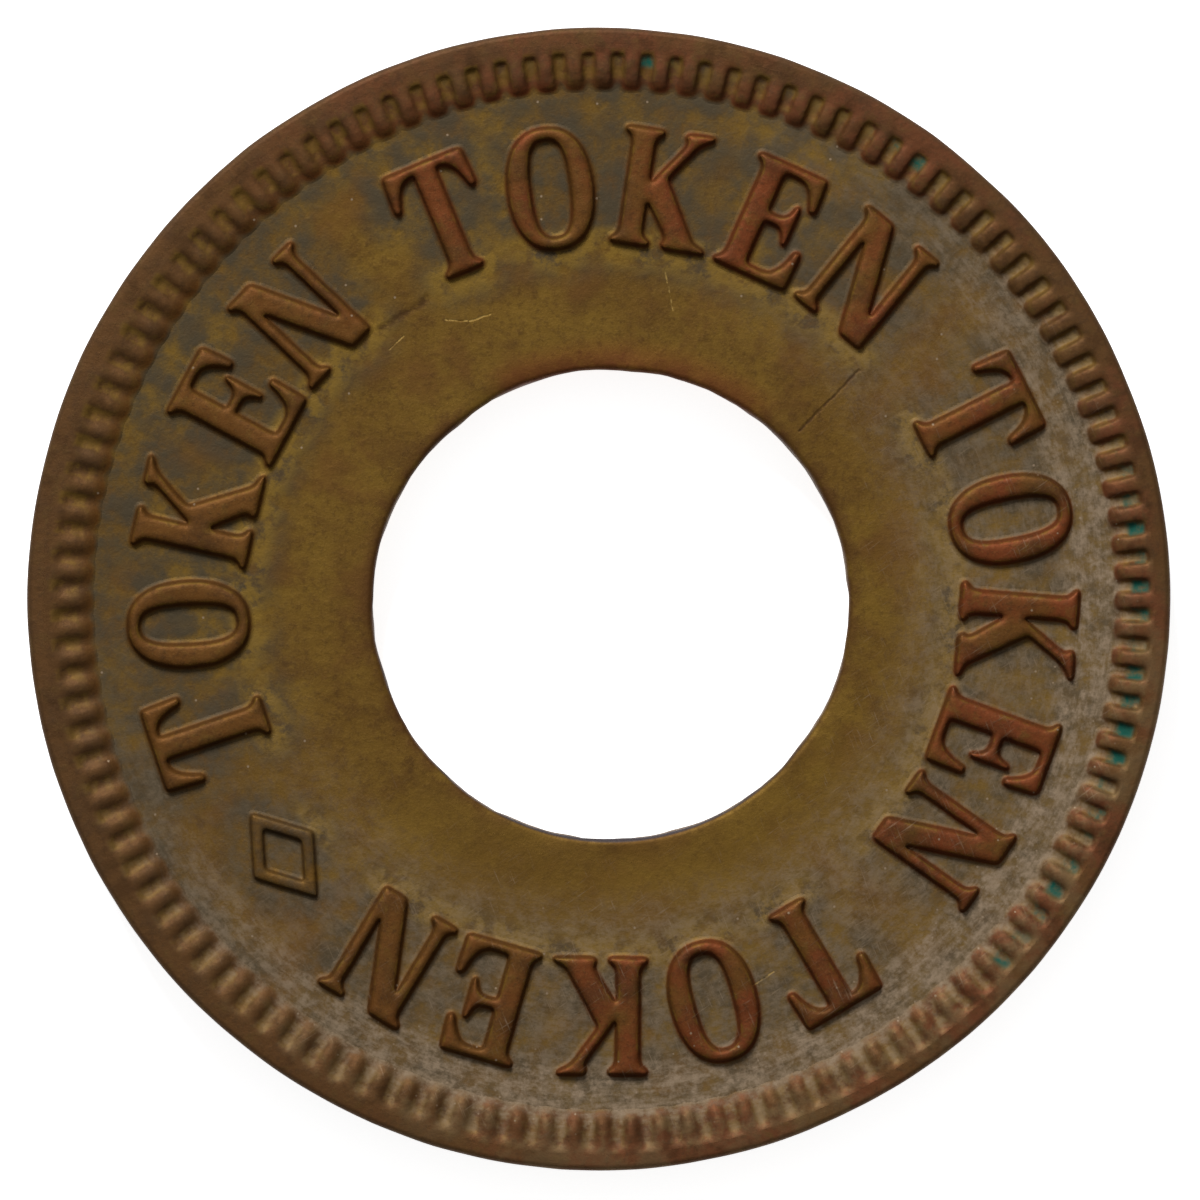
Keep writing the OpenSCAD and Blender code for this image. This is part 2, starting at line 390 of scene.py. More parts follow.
def strike_node(node, face, voxel, passes, lift):
    piece = bpy.data.objects.new(f"{node}_struck", frame["nodes"][node].data.copy())
    bpy.context.scene.collection.objects.link(piece)
    work_on(piece)
    piece.scale = (1 / MM,) * 3
    bpy.ops.object.transform_apply(location=True, rotation=True, scale=True)
    low, high = box_mm(node)

    bpy.ops.object.mode_set(mode="EDIT")
    bpy.ops.mesh.select_all(action="SELECT")
    bpy.ops.mesh.remove_doubles(threshold=0.0001)
    pick_points(piece, lambda p: (p.z - face.field) * face.up > HAIR)
    bpy.ops.transform.translate(value=(0, 0, lift * face.up))
    pick_points(piece, lambda p: (p.z - face.field) * face.up <= HAIR)
    bpy.ops.transform.translate(value=(0, 0, -PLATE / 2 * face.up))
    bpy.ops.mesh.select_all(action="DESELECT")
    middle = (low + high) / 2
    bpy.ops.mesh.primitive_cube_add(
        size=1,
        location=(middle.x, middle.y, face.field - face.up * (PLATE / 2 + PLATE_DROP)),
        scale=(high.x - low.x + 2 * SPREAD, high.y - low.y + 2 * SPREAD, PLATE),
    )
    bpy.ops.object.mode_set(mode="OBJECT")
    strike(piece, face, voxel, passes)
    return piece


reliefs = {}
for face in (FRONT, BACK):
    for word in WORDS:
        node = f"{face.name}_{word}"
        reliefs[node] = strike_node(node, face, voxel=0.028, passes=56, lift=0.03)
    node = f"{face.name}_lozenge"
    reliefs[node] = strike_node(node, face, voxel=0.028, passes=40, lift=0.03)
print(len(reliefs), "pieces of relief struck")

# %% [markdown]
# ## The denticles
# A ring of small teeth frames the field. Each one runs out of the rim and slopes down to
# the field at its inner end. One tooth is modelled: a block is cut with bisect, its top is
# drawn in and lowered at the inner end. Then it is duplicated and turned round the middle
# until the ring is full. The inner part of the rim and a plate are turned beside it, and
# the whole is struck like the letters, so that the teeth grow out of the rim. Towards the
# lower left the token is worn most, so the teeth there are smoothed once more.

# %% Model one tooth
DENTICLES = 116
TOOTH_LENGTH = 0.66
TOOTH_WIDTH = 0.36
TOP_WIDTH = 0.72
TOOTH_CUTS = (0.18, 0.4)
CUT_DROP, TIP_DROP, TIP_BACK = 0.04, 0.09, 0.03
RAMP_LENGTH = 0.54
RAMP_FOOT = 0.02
RAMP_HEIGHT = 0.09
FLUSH = 0.0015
SHELF_UNDER_RIM = 0.16
PLATE_BEYOND = 0.2
UNEVEN_WITHIN, WORN_WITHIN = 0.3, 0.1
WORN_SIDE = math.radians(225)
WORN_SHARE = (0.25, 0.65)


def make_tooth(face):
    inner = face.ring_r - TOOTH_LENGTH
    outer = face.ring_r + RIM_SEAM / 2
    bottom, top = -PLATE / 2, RIM_HEIGHT - FLUSH
    bpy.ops.object.select_all(action="DESELECT")
    bpy.ops.mesh.primitive_cube_add(
        size=1,
        location=((inner + outer) / 2, 0, face.field + face.up * (bottom + top) / 2),
        scale=(outer - inner, TOOTH_WIDTH, top - bottom),
    )
    tooth = bpy.context.object
    tooth.name = f"{face.name}_denticles_struck"
    bpy.ops.object.transform_apply(location=True, rotation=True, scale=True)
    bpy.ops.object.mode_set(mode="EDIT")
    for cut in TOOTH_CUTS:
        bpy.ops.mesh.select_all(action="SELECT")
        bpy.ops.mesh.bisect(plane_co=(inner + cut, 0, 0), plane_no=(1, 0, 0))

    def on_top(p):
        return (p.z - face.field) * face.up > 0

    pick_points(tooth, on_top)
    bpy.ops.transform.resize(value=(1, TOP_WIDTH, 1), center_override=(0, 0, 0))
    pick_points(tooth, lambda p: on_top(p) and p.x < inner + TOOTH_CUTS[0] + HAIR)
    bpy.ops.transform.translate(value=(0, 0, -CUT_DROP * face.up))
    pick_points(tooth, lambda p: on_top(p) and p.x < inner + HAIR)
    bpy.ops.transform.translate(value=(TIP_BACK, 0, -TIP_DROP * face.up))
    bpy.ops.object.mode_set(mode="OBJECT")
    return tooth


# %% Repeat the tooth and strike the ring
def repeat_round(tooth):
    work_on(tooth)
    bpy.ops.object.mode_set(mode="EDIT")
    bpy.ops.mesh.select_all(action="SELECT")
    for _ in range(DENTICLES - 1):
        bpy.ops.mesh.duplicate()
        bpy.ops.transform.rotate(
            value=2 * math.pi / DENTICLES, orient_axis="Z", center_override=(0, 0, 0)
        )
    bpy.ops.object.mode_set(mode="OBJECT")


def make_border(face):
    tooth = make_tooth(face)
    repeat_round(tooth)
    wall, outer = face.ring_r, face.ring_r + RIM_SEAM + SHELF_UNDER_RIM
    inner, ramp = wall - TOOTH_LENGTH - PLATE_BEYOND, wall - RAMP_LENGTH
    top = RIM_HEIGHT - FLUSH
    shelf = [
        (ramp, -PLATE / 2), (outer, -PLATE / 2), (outer, top), (wall, top),
        (wall, RAMP_HEIGHT), (ramp, RAMP_FOOT),
    ]
    plate = [(inner, -PLATE), (outer, -PLATE), (outer, -PLATE_DROP), (inner, -PLATE_DROP)]
    parts = [lathe("shelf", section_on(face, shelf)), lathe("plate", section_on(face, plate))]
    work_on(tooth)
    for part in parts:
        part.select_set(True)
    bpy.ops.object.join()
    bpy.ops.object.mode_set(mode="EDIT")
    pick_points(tooth, lambda p: p.xy.length < outer - HAIR)
    bpy.ops.transform.translate(value=face.die)
    bpy.ops.object.mode_set(mode="OBJECT")

    def uneven_at(p):
        return share((p - face.die).xy.length, wall, wall - UNEVEN_WITHIN)

    def worn_at(p):
        side = 0.5 + 0.5 * math.cos(math.atan2(p.x, p.y) - WORN_SIDE)
        from_die = (p - face.die).xy.length
        inside = share(from_die, wall + WORN_WITHIN, wall - WORN_WITHIN)
        return share(side, *WORN_SHARE) * inside

    strike(tooth, face, voxel=0.042, passes=16, uneven_at=uneven_at, worn_at=worn_at)
    return tooth


denticles = {face.name: make_border(face) for face in (FRONT, BACK)}
for face in (FRONT, BACK):
    print(face.name, "border:", len(denticles[face.name].data.polygons), "faces")

# %% [markdown]
# ## Smooth shading
# The turned and softened pieces are made of small flat faces. Smooth shading blends them.
# The angle limit keeps a real corner, such as the one where the back meets the floor.

# %% Shade everything smooth
struck = {"blank": blank}
struck.update({f"{name}_rim": rim for name, rim in rims.items()})
struck.update({f"{name}_denticles": ring for name, ring in denticles.items()})
struck.update(reliefs)
for piece in struck.values():
    work_on(piece)
    bpy.ops.object.shade_smooth_by_angle(angle=math.radians(50))

# %% [markdown]
# ## How far the field is from the relief
# The field is darkened beside the letters and between the denticles, partly by dirt that a
# cloth can't reach and partly by painted shade. A shader can't see its neighbours, and a
# shader that traces rays for them is slow and grainy. So the distance from each point of the
# field to the nearest relief is measured once, and stored at the point. On the relief itself the
# distance is nothing.

# %% Store the distance to the relief
GAP = "relief_gap"
FAR = 3.0
FOOT_HEIGHT = 0.03
LEVEL_HEIGHT = 0.05


def store_gap(piece, gap_at):
    layer = piece.data.attributes.new(GAP, "FLOAT", "POINT")
    layer.data.foreach_set("value", [gap_at(point.co) for point in piece.data.vertices])


def feet_of(face):
    """A search tree of every second point of the relief that lies on this face's field."""
    feet = [
        point.co
        for node, piece in struck.items() if node.startswith(face.name)
        for point in piece.data.vertices
        if abs(point.co.z - face.field) < FOOT_HEIGHT and point.index % 2 == 0
    ]
    tree = kdtree.KDTree(len(feet))
    for index, place in enumerate(feet):
        tree.insert(place, index)
    tree.balance()
    return tree


feet = {face.name: feet_of(face) for face in (FRONT, BACK)}


def blank_gap(p):
    face = FRONT if p.z > MIDDLE else BACK
    if abs(p.z - face.field) > LEVEL_HEIGHT:
        return FAR
    return min(FAR, feet[face.name].find(p)[2])


for node, piece in struck.items():
    store_gap(piece, blank_gap if node == "blank" else lambda p: 0.0)
print("distance to the relief stored on", len(struck), "pieces")

# %% [markdown]
# ## Shader sums as Python
# A finish is a long sum of masks and colours. Drawn as nodes it is a wall of boxes, so a
# small class wraps a socket and lets Python's own operators add the Math nodes. Colours go
# through Mix, because a Math node would turn them grey.

# %% Wires and graphs
class Wire:
    """One output of a shader node. Sums of wires and numbers add Math nodes."""

    def __init__(self, graph, socket):
        self.graph, self.socket = graph, socket

    def __add__(self, other):
        return self.graph.math("ADD", self, other)

    def __sub__(self, other):
        return self.graph.math("SUBTRACT", self, other)

    def __rsub__(self, other):
        return self.graph.math("SUBTRACT", other, self)

    def __mul__(self, other):
        return self.graph.math("MULTIPLY", self, other)

    def __abs__(self):
        return self.graph.math("ABSOLUTE", self)

    __radd__ = __add__
    __rmul__ = __mul__


class Graph:
    def __init__(self, name):
        self.material = bpy.data.materials.new(name)
        self.material.use_nodes = True
        self.tree = self.material.node_tree
        self.tree.nodes.clear()

    def node(self, kind, settings=None, sockets=None, out=0):
        """Adds a node: its settings first, then the values or wires of its sockets."""
        made = self.tree.nodes.new(f"ShaderNode{kind}")
        for key, value in (settings or {}).items():
            setattr(made, key, value)
        for key, value in (sockets or {}).items():
            if isinstance(value, Wire):
                self.tree.links.new(value.socket, made.inputs[key])
            else:
                made.inputs[key].default_value = value
        return Wire(self, made.outputs[out]) if made.outputs else made

    def math(self, operation, *values):
        return self.node("Math", {"operation": operation}, dict(enumerate(values)))

    def vector(self, operation, *values, out=0):
        return self.node("VectorMath", {"operation": operation}, dict(enumerate(values)), out)

    def mix(self, amount, below, above):
        below, above = (c if isinstance(c, Wire) else (*c, 1) for c in (below, above))
        return self.node("Mix", {"data_type": "RGBA"}, {0: amount, 6: below, 7: above}, 2)

    def rise(self, value, low, high):
        """0 below low, 1 above high, and a smooth step between."""
        sockets = {"Value": value, "From Min": low, "From Max": high}
        return self.node("MapRange", {"interpolation_type": "SMOOTHSTEP"}, sockets)

    def fall(self, value, low, high):
        return 1 - self.rise(value, low, high)

    def noise(self, place, scale, detail=3.0, roughness=0.55):
        sockets = {"Vector": place, "Scale": scale, "Detail": detail, "Roughness": roughness}
        return self.node("TexNoise", None, sockets)


# %% [markdown]
# ## Where a point is on the token
# All masks start from the same few facts about a point: its place in millimetres, how far
# it is from the middle, in which direction, how high it stands above its field and above
# the sloping floors between the teeth, whether it lies in a notch between two teeth, how
# steep the metal is there, and how near the relief is. Every piece uses the same facts, so
# the finish runs across the seams between pieces.

# %% Facts about a point
FACE_FADE = 0.1
NOTCH_RING = (9.72, 10.12)


class Spot(Graph):
    def __init__(self, name):
        super().__init__(name)
        here = self.node("TexCoord", out="Object")
        self.place = self.node(
            "VectorMath", {"operation": "SCALE"}, {0: here, "Scale": 1 / MM}
        )
        self.x = self.node("SeparateXYZ", None, {0: self.place}, 0)
        self.y = self.node("SeparateXYZ", None, {0: self.place}, 1)
        self.z = self.node("SeparateXYZ", None, {0: self.place}, 2)
        self.flat = self.node("CombineXYZ", None, {0: self.x, 1: self.y})
        self.radius = self.vector("LENGTH", self.flat, out="Value")
        self.clock = self.math("ARCTAN2", self.x, self.y)
        self.height = abs(self.z - MIDDLE) - (FRONT_FIELD - MIDDLE)
        ramp = self.rise(self.radius, FRONT.ring_r - RAMP_LENGTH, FRONT.ring_r)
        self.above = self.height - ramp * RAMP_HEIGHT
        front = self.rise(self.z, MIDDLE - FACE_FADE, MIDDLE + FACE_FADE)
        die_x = self.x - BACK.die.x - front * (FRONT.die.x - BACK.die.x)
        die_y = self.y - BACK.die.y - front * (FRONT.die.y - BACK.die.y)
        turn = self.math("ARCTAN2", die_y, die_x)
        between = 0.5 - 0.5 * self.math("COSINE", turn * DENTICLES)
        self.notch = self.rise(between, 0.40, 0.80) * self.band(*NOTCH_RING, 0.12)
        facing = self.node("TexCoord", out="Normal")
        self.steep = 1 - abs(self.node("SeparateXYZ", None, {0: facing}, 2))
        self.gap = self.node("Attribute", {"attribute_name": GAP}, None, "Fac")
        centre = (HOLE_CENTRE.x, HOLE_CENTRE.y, 0)
        self.hole_gap = self.vector("DISTANCE", self.flat, centre, out="Value") - HOLE_R

        self.broad = self.noise(self.place, 0.35, 4)
        self.patch = self.noise(self.place, 1.3, 5, 0.6)
        self.blotch = self.noise(self.place, 3.2, 5, 0.65)
        self.grain = self.noise(self.place, 9.0, 4, 0.65)
        self.fine = self.noise(self.place, 24.0, 3, 0.65)

    def towards(self, degrees):
        """1 in a direction clockwise from 12 o'clock, 0 in the opposite one."""
        return 0.5 + 0.5 * self.math("COSINE", self.clock - math.radians(degrees))

    def sector(self, degrees, half_width):
        """1 within half_width degrees of a direction, fading over another third."""
        turn = 1 - self.towards(degrees)
        inside = (1 - math.cos(math.radians(half_width))) / 2
        outside = (1 - math.cos(math.radians(half_width * 1.35))) / 2
        return self.fall(turn, inside, outside)

    def band(self, low, high, fade):
        """1 between two distances from the middle."""
        return self.rise(self.radius, low - fade, low) * self.fall(self.radius, high, high + fade)

    def shaky(self, size, amount):
        """The flat place, moved about by a noise, so that a straight line wavers."""
        colour = self.node(
            "TexNoise", None, {"Vector": self.flat, "Scale": size, "Detail": 3.0}, "Color"
        )
        push = self.vector("SUBTRACT", colour, (0.5, 0.5, 0.5))
        push = self.vector("MULTIPLY", push, (amount, amount, 0))
        return self.vector("ADD", self.flat, push)

    def stroke(self, place, start, end, width):
        """1 on a scratch between two places, fading across its width."""
        start, end = Vector((*start, 0)), Vector((*end, 0))
        run = end - start
        from_start = self.vector("SUBTRACT", place, tuple(start))
        along = self.vector("DOT_PRODUCT", from_start, tuple(run / run.length_squared), out="Value")
        along = self.node("Clamp", None, {"Value": along})
        nearest = self.node("VectorMath", {"operation": "SCALE"}, {0: tuple(run), "Scale": along})
        away = self.vector("DISTANCE", from_start, nearest, out="Value")
        return self.fall(away, 0.0, width)


# %% [markdown]
# ## Toned brass
# Bare brass is yellow. Handled for decades it turns olive brown where it is flat, red brown
# where it is raised, and nearly black in the crevices, where painted shade deepens the patina.
# Dust settles in the low places and turns grey, and damp leaves green verdigris in the deepest
# notches. Each of these is a colour and a mask, and they are laid over each other in the order
# in which they formed; painted shade and painted highlights are laid in among them.

# %% Colours of toned brass
OLIVE = (0.124, 0.064, 0.011)
OLIVE_LIGHT = (0.162, 0.091, 0.014)
OLIVE_BROWN = (0.094, 0.045, 0.010)
WARM_BROWN = (0.120, 0.048, 0.010)
RED_BROWN = (0.152, 0.037, 0.011)
STAIN = (0.122, 0.054, 0.013)
MOUTH_BROWN = (0.066, 0.024, 0.008)
DARK_BROWN = (0.048, 0.021, 0.007)
DULL_BROWN = (0.105, 0.066, 0.036)
# Grey brown for the grime and painted shade beside the relief.
GRIME_AND_SHADE = (0.060, 0.048, 0.029)
GOLD = (0.215, 0.125, 0.018)
DUST = (0.275, 0.200, 0.130)
BARE_BRASS = (0.40, 0.26, 0.075)
GOLD_DUST = (0.215, 0.142, 0.064)
VERDIGRIS = (0.009, 0.072, 0.052)
BLUE_BLACK = (0.042, 0.041, 0.053)

# %% [markdown]
# ## The flat metal
# The field is olive, mottled at every scale from a few millimetres to a fiftieth of one.
# Close to the relief and inside the letters it turns grey brown: grime that a cloth can't reach,
# together with painted shade.
# Along the inner feet of the letters the tone has worn through to a golden line.

# %% Colour the flat metal
INNER_FEET = (6.15, 6.75)
LETTER_FIELD = (5.9, 11.0)
SHELTERED_SECTOR = (170, 45)


def flat_colour(s):
    colour = s.mix(s.rise(s.broad, 0.38, 0.64), OLIVE, OLIVE_LIGHT)
    colour = s.mix(s.rise(s.patch, 0.44, 0.66) * 0.7, colour, OLIVE_BROWN)
    colour = s.mix(s.rise(s.blotch, 0.50, 0.72) * 0.5, colour, OLIVE_LIGHT)
    colour = s.mix(s.rise(s.grain, 0.46, 0.70) * 0.40, colour, DARK_BROWN)
    colour = s.mix(s.rise(s.fine, 0.45, 0.75) * 0.10, colour, BARE_BRASS)

    stain = s.rise(s.noise(s.place, 0.62, 4, 0.6), 0.50, 0.66)
    colour = s.mix(stain * 0.55, colour, STAIN)
    spot = s.rise(s.noise(s.place, 2.1, 2), 0.66, 0.76)
    colour = s.mix(spot * 0.45, colour, DARK_BROWN)

    unclean = s.rise(s.patch * 0.6 + s.blotch * 0.4, 0.34, 0.60)
    # Painted shade with grime: the field darkens to grey brown close to the relief.
    grime_and_shade = s.fall(s.gap, 0.05, 0.75) * unclean * s.band(*LETTER_FIELD, 0.5)
    colour = s.mix(grime_and_shade * 0.9, colour, GRIME_AND_SHADE)
    sheltered = s.sector(*SHELTERED_SECTOR) * s.fall(s.radius, 6.0, 6.6)
    colour = s.mix(sheltered * 0.35, colour, OLIVE_LIGHT)

    worn = s.fall(s.gap, 0.06, 0.50) * s.band(*INNER_FEET, 0.25) * s.rise(s.blotch, 0.38, 0.56)
    return s.mix(worn * 0.75, colour, GOLD)


# %% [markdown]
# ## The raised metal
# Thumbs rub the tops of the letters and the rim, and leave them red brown, with dark pits
# and a few spots where the yellow metal shows.

# %% Colour the raised metal
RED_SIDE = 80


def raised_colour(s):
    redness = s.rise(s.broad * 0.6 + s.noise(s.place, 0.9, 3) * 0.7, 0.56, 0.74)
    redness = redness * s.rise(s.towards(RED_SIDE), 0.05, 0.55)
    colour = s.mix(redness, WARM_BROWN, RED_BROWN)
    colour = s.mix(s.rise(s.patch, 0.46, 0.70) * 0.55, colour, DARK_BROWN)
    colour = s.mix(s.rise(s.blotch, 0.50, 0.72) * 0.6, colour, OLIVE)
    colour = s.mix(s.rise(s.grain, 0.48, 0.72) * 0.5, colour, DARK_BROWN)
    return s.mix(s.rise(s.fine, 0.50, 0.78) * 0.10, colour, BARE_BRASS)


# %% [markdown]
# ## Dust and damp
# The lower right of the token is dusty, most of all in the ring between the letters and the
# denticles, where it lies in streaks that run round. Pale specks of it are scattered
# elsewhere. Verdigris sits in the outer ends of the gaps between the denticles, and only in
# the directions where damp got in.

# %% Masks of dust, specks and verdigris
DUSTY_SIDE = 140
DUST_RING = (8.9, 9.55)
NOTCH_ENDS = (9.96, 10.16)
DAMP_SECTORS = ((102, 22), (5.5, 2.0), (34, 3.0), (131, 1.6))


def brightest(graph, masks):
    total = masks[0]
    for mask in masks[1:]:
        total = graph.math("MAXIMUM", total, mask)
    return total


def streaks(s, along, across):
    """A noise that is drawn out round the token, because its direction changes slowly."""
    way = s.vector("NORMALIZE", s.flat)
    way_x = s.node("SeparateXYZ", None, {0: way}, 0)
    way_y = s.node("SeparateXYZ", None, {0: way}, 1)
    sockets = {0: way_x * along, 1: way_y * along, 2: s.radius * across}
    return s.noise(s.node("CombineXYZ", None, sockets), 1.0, 4, 0.65)


def dust_mask(s):
    side = s.rise(s.towards(DUSTY_SIDE), 0.10, 0.90)
    low = brightest(s, [s.fall(s.above, 0.02, 0.10), s.notch])
    level = s.fall(s.steep, 0.02, 0.25)
    patchy = s.grain * 0.40 + s.blotch * 0.40 + streaks(s, 14, 8) * 0.25 + streaks(s, 40, 22) * 0.15
    deep = 0.42 + 0.58 * s.band(*DUST_RING, 0.45)
    thick = deep * (0.15 + 0.85 * s.rise(patchy, 0.50, 0.74))
    return side * low * level * thick * s.band(6.3, 11.0, 1.1)


def speck_mask(s, scale, radius):
    """Round spots, at most one to a cell of the pattern, and in a few cells only."""
    settings = {"voronoi_dimensions": "2D"}
    sockets = {"Vector": s.flat, "Scale": scale}
    away = s.node("TexVoronoi", settings, sockets, "Distance")
    chance = s.node("TexVoronoi", settings, sockets, "Color")
    chosen = s.rise(s.node("SeparateColor", None, {0: chance}, 0), 0.70, 0.72)
    return s.fall(away, radius * scale * 0.4, radius * scale) * chosen


def scuffs(s, degrees):
    """Hair-fine parallel scratches that run in one direction."""
    turn = math.radians(degrees)
    along = s.vector("DOT_PRODUCT", s.flat, (math.cos(turn), math.sin(turn), 0), out="Value")
    across = s.vector("DOT_PRODUCT", s.flat, (-math.sin(turn), math.cos(turn), 0), out="Value")
    place = s.node("CombineXYZ", None, {0: along * 1.6, 1: across * 22})
    return s.rise(s.noise(place, 1.0, 3, 0.6), 0.58, 0.72)


def damp_mask(s):
    damp = brightest(s, [s.sector(*sector) for sector in DAMP_SECTORS])
    uneven = s.rise(s.noise(s.place, 1.4, 2) * 0.5 + s.blotch * 0.25 + s.grain * 0.25, 0.42, 0.58)
    return damp * uneven * s.band(*NOTCH_ENDS, 0.14) * s.fall(s.height, 0.08, 0.18)


# %% [markdown]
# ## Scratches and dark lines
# A few scratches show bare metal. Two dark lines are drawn: a fine crack that has filled with
# dirt, and a wider dark smear below a letter. Each is a line between two places on the front,
# read at a place that wavers, so that none is straight.

# %% Masks of scratches and dark lines
SCRATCHES = (
    ((1.23, 6.10), (1.36, 5.35), 0.025),
    ((-2.85, 5.20), (-2.45, 5.16), 0.03),
    ((-2.40, 5.15), (-2.02, 5.27), 0.03),
    ((-3.90, 4.62), (-3.62, 4.86), 0.025),
    ((2.85, -7.15), (3.25, -6.92), 0.03),
)
DARK_LINES = (
    # A wider dark smear below a letter.
    ((-4.05, 5.00), (-3.20, 5.55), 0.12),
    # A fine crack filled with dirt.
    ((4.84, 4.24), (3.73, 3.13), 0.05),
)


def line_mask(s, lines, scale, amount):
    place = s.shaky(scale, amount)
    front = s.rise(s.z, MIDDLE, MIDDLE + FACE_FADE)
    return brightest(s, [s.stroke(place, *line) for line in lines]) * front


# %% [markdown]
# ## The mouth of the hole
# Fingers don't reach the mouth, so it keeps a dark brown tone, and painted shade darkens it
# further except on the lower side, which faces the key lamp. It is redder above, and blue
# black where its lower left side turns down into the hole: a painted dark fringe of shade.

# %% Colour the mouth
# The first direction is where the painted dark fringe lies on the mouth.
FRINGE_SIDE = 215
KEY_FACING_SECTOR, RED_SECTOR = (165, 35), (8, 28)


def mouth_colour(s, colour):
    # Dark tone and painted shade around the mouth, weakened on the side that faces the key lamp.
    mouth = s.fall(s.hole_gap, 0.0, 0.42) * s.rise(s.patch * 0.6 + s.blotch * 0.4, 0.36, 0.56)
    mouth = mouth * (1 - s.sector(*KEY_FACING_SECTOR) * 0.7)
    colour = s.mix(mouth * 0.75, colour, MOUTH_BROWN)
    reddened = s.sector(*RED_SECTOR) * s.fall(s.hole_gap, 0.2, 0.7)
    colour = s.mix(reddened * 0.4, colour, RED_BROWN)
    # Painted shade: a blue black fringe along the lip where it turns down into the hole.
    dark_fringe = s.fall(s.hole_gap, 0.02, 0.07) * s.rise(s.towards(FRINGE_SIDE), 0.35, 0.75)
    dark_fringe = dark_fringe * s.rise(s.height, -0.15, -0.10)
    return s.mix(dark_fringe * 0.8, colour, BLUE_BLACK)


# %% [markdown]
# ## The rim and the denticles
# They are duller than the letters, with dark pits and an outer corner darkened by grime and
# painted shade. The notches between the denticles have kept some gold. At the lower right the
# rim is lighter and the teeth look gilt; at the lower left the teeth carry painted shade, which
# tones down the light on their worn slopes.

# %% Colour the rim and the denticles
GILT_SIDE = 155
# The lower left sector and its ring hold painted shade on the worn teeth.
LIGHT_SECTOR, SHADED_SECTOR = (145, 45), (222, 45)
BORDER_FROM, RIM_FROM = (9.4, 9.7), (10.1, 10.3)
GILT_RING, SHADED_RING = (9.45, 10.2), (9.5, 10.2)


def border_colour(s, colour):
    # Painted shade with grime: the outer corner darkens where it turns down.
    edge = s.rise(s.radius, TOKEN_R - 0.14, TOKEN_R - 0.01)
    colour = s.mix(edge * 0.65, colour, DARK_BROWN)
    border = s.rise(s.radius, *BORDER_FROM)
    colour = s.mix(border * 0.3, colour, DULL_BROWN)
    pitted = s.rise(s.noise(s.place, 1.9, 4, 0.6), 0.50, 0.68)
    colour = s.mix(border * pitted * 0.5, colour, DARK_BROWN)

    rim = s.rise(s.radius, *RIM_FROM)
    light_rim = s.sector(*LIGHT_SECTOR) * rim
    colour = s.mix(rim * 0.2 - light_rim * 0.2, colour, DARK_BROWN)
    colour = s.mix(light_rim * s.rise(s.patch, 0.40, 0.60) * 0.3, colour, GOLD_DUST)
    colour = s.mix(s.notch * s.rise(s.blotch, 0.36, 0.56) * 0.4, colour, GOLD)

    gilt = s.rise(s.towards(GILT_SIDE), 0.55, 0.95) * s.band(*GILT_RING, 0.15)
    gilt = gilt * s.rise(s.patch * 0.5 + s.blotch * 0.5, 0.44, 0.60)
    colour = s.mix(gilt * 0.45, colour, GOLD_DUST)
    # Painted shade on the worn lower left teeth, whose slopes face the key lamp.
    lower_left_shade = s.sector(*SHADED_SECTOR) * s.band(*SHADED_RING, 0.15)
    return s.mix(lower_left_shade * 0.25, colour, DARK_BROWN)


# %% [markdown]
# ## One finish for the whole token
# All parts are one metal, so one recipe serves them. Height above the field decides between
# the flat and the raised colour, so a letter's wall fades from one into the other. The feet
# of the relief are darkened by patina and painted shade, and its shoulders catch a little gold,
# rubbed metal that is also a painted highlight. The marks come last: dust, scuffs, verdigris,
# scratches and dark lines.

# %% Join the flat and the raised metal
def relief_colour(s, rubbed):
    raised = s.rise(s.above, -0.005, 0.04)
    colour = s.mix(raised * rubbed, flat_colour(s), raised_colour(s))
    # Painted shade with dark patina: steep metal low on the relief is darkened along its feet.
    patina_and_shade_at_feet = s.rise(s.steep, 0.08, 0.5) * s.fall(s.height, 0.02, 0.10)
    colour = s.mix(patina_and_shade_at_feet * 0.4, colour, DARK_BROWN)
    # Rubbed gold on the shoulders of the relief, which is also a painted highlight.
    shoulder = s.rise(s.steep, 0.04, 0.20) * s.fall(s.steep, 0.30, 0.55)
    rubbed_gold_and_highlight = shoulder * s.rise(s.height, 0.06, 0.12) * s.rise(s.blotch, 0.42, 0.62)
    return s.mix(rubbed_gold_and_highlight * 0.35, colour, GOLD)


# %% Lay the dust over the metal
SCUFF_DIRECTIONS = (35, 112)


def dusty_colour(s, colour, dust):
    side = s.towards(DUSTY_SIDE)
    specks = brightest(s, [
        speck_mask(s, 1.1, 0.030) * s.band(6.0, 9.6, 0.3),
        speck_mask(s, 2.7, 0.024) * s.band(8.6, 9.7, 0.4) * s.rise(side, 0.4, 0.9),
    ])
    colour = s.mix(dust, colour, DUST)
    colour = s.mix(specks * 0.8, colour, DUST)
    scuffed = brightest(s, [scuffs(s, degrees) for degrees in SCUFF_DIRECTIONS])
    scuffed = scuffed * s.rise(s.patch, 0.42, 0.60)
    scuffed = scuffed * s.rise(side, 0.25, 0.95) * s.band(5.4, 9.6, 0.8)
    return s.mix(scuffed * 0.38, colour, DUST)


